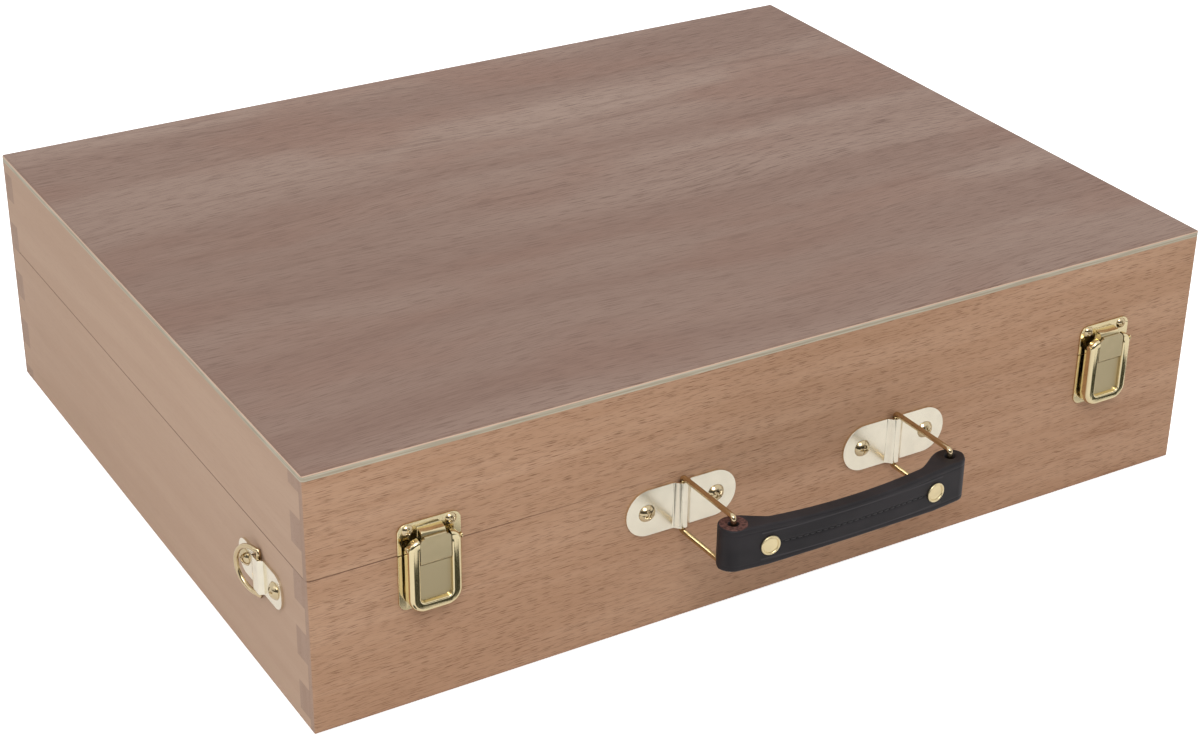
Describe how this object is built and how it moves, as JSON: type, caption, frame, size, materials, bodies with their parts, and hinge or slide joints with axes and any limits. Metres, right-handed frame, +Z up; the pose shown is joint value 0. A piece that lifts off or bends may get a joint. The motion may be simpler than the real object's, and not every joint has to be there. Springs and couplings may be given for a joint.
{
  "type": "brush box with hinged lid",
  "caption": "Flat wooden brush box with lapped finger joints, plywood top, hinged lid, brass draw latches, leather carrying handle and strap rings.",
  "frame": {"origin": "middle of the underside of the wooden box, on the surface it stands on", "axes": "+X to the right along the front, +Y from the front to the back, +Z up; the latches and the handle are on the -Y side"},
  "size_m": [0.4634, 0.4052, 0.12],
  "materials": {
    "beech": "oiled satin beech with fine dark flecks",
    "plywood": "grey-brown mahogany-faced plywood, satin",
    "brass": "bright polished brass plate",
    "pale_brass": "pale champagne brass plate, satin",
    "leather": "smooth black-brown leather, cut edges reddish brown"
  },
  "bodies": {
    "base": {"base_front_board": "beech", "base_back_board": "beech", "base_left_board": "beech", "base_right_board": "beech", "base_panel": "plywood", "long_divider": "beech", "cross_divider_left": "beech", "cross_divider_right": "beech", "hinge_lower_leaf_left": "brass", "hinge_lower_leaf_right": "brass", "hinge_pin_left": "brass", "hinge_pin_right": "brass", "hinge_lower_screws": "brass", "latch_base_left": "brass", "latch_base_right": "brass", "latch_pivots_left": "brass", "latch_pivots_right": "brass", "latch_base_screws": "brass", "handle_bracket_left": "pale_brass", "handle_bracket_right": "pale_brass", "handle_bracket_screws": "brass", "ring_plate_left": "pale_brass", "ring_plate_right": "pale_brass", "ring_plate_screws": "brass"},
    "lid": {"lid_front_board": "beech", "lid_back_board": "beech", "lid_left_board": "beech", "lid_right_board": "beech", "lid_panel": "plywood", "hinge_upper_leaf_left": "brass", "hinge_upper_leaf_right": "brass", "hinge_upper_screws": "brass", "strike_plate_left": "brass", "strike_plate_right": "brass", "strike_screws": "brass"},
    "latch_lever_left": {"latch_lever_left": "brass", "tongue_pin_left": "brass"},
    "latch_lever_right": {"latch_lever_right": "brass", "tongue_pin_right": "brass"},
    "latch_tongue_left": {"latch_tongue_left": "brass"},
    "latch_tongue_right": {"latch_tongue_right": "brass"},
    "handle_loop_left": {"handle_loop_left": "brass"},
    "handle_loop_right": {"handle_loop_right": "brass"},
    "grip": {"handle_grip": "leather", "handle_rivets": "pale_brass"},
    "strap_ring_left": {"strap_ring_left": "brass"},
    "strap_ring_right": {"strap_ring_right": "brass"}
  },
  "joints": [
    {"name": "lid_hinge", "type": "hinge", "parent": "base", "child": "lid", "pos_m": [0, 0.1781, 0.0725], "axis": [-1, 0, 0], "range_deg": [0, 100]},
    {"name": "latch_lever_left", "type": "hinge", "parent": "base", "child": "latch_lever_left", "pos_m": [-0.1725, -0.1799, 0.0772], "axis": [-1, 0, 0], "range_deg": [0, 100]},
    {"name": "latch_tongue_left", "type": "hinge", "parent": "latch_lever_left", "child": "latch_tongue_left", "pos_m": [-0.1725, -0.1804, 0.0702], "axis": [-1, 0, 0], "range_deg": [-100, 0]},
    {"name": "latch_lever_right", "type": "hinge", "parent": "base", "child": "latch_lever_right", "pos_m": [0.1725, -0.1799, 0.0772], "axis": [-1, 0, 0], "range_deg": [0, 100]},
    {"name": "latch_tongue_right", "type": "hinge", "parent": "latch_lever_right", "child": "latch_tongue_right", "pos_m": [0.1725, -0.1804, 0.0702], "axis": [-1, 0, 0], "range_deg": [-100, 0]},
    {"name": "handle_loop_left", "type": "hinge", "parent": "base", "child": "handle_loop_left", "pos_m": [-0.055, -0.17635, 0.058], "axis": [0, 0, 1], "range_deg": [-75.5, 72.5]},
    {"name": "handle_loop_right", "type": "hinge", "parent": "base", "child": "handle_loop_right", "pos_m": [0.055, -0.17635, 0.058], "axis": [0, 0, 1], "range_deg": [-75.5, 72.5]},
    {"name": "handle_grip", "type": "hinge", "parent": "handle_loop_left", "child": "grip", "pos_m": [-0.05403, -0.21334, 0.058], "axis": [0, 0, 1], "range_deg": [-72.5, 75.5]},
    {"name": "strap_ring_left", "type": "hinge", "parent": "base", "child": "strap_ring_left", "pos_m": [-0.2262, -0.1305, 0.052], "axis": [0, 0, 1], "range_deg": [-3, 147]},
    {"name": "strap_ring_right", "type": "hinge", "parent": "base", "child": "strap_ring_right", "pos_m": [0.2262, -0.1305, 0.052], "axis": [0, 0, -1], "range_deg": [-3, 147]}
  ],
  "couplings": [
    {"joint": "latch_tongue_left", "follows": "latch_lever_left", "ratio": -1},
    {"joint": "latch_tongue_right", "follows": "latch_lever_right", "ratio": -1},
    {"joint": "handle_loop_right", "follows": "handle_loop_left", "ratio": 1},
    {"joint": "handle_grip", "follows": "handle_loop_left", "ratio": -1}
  ]
}
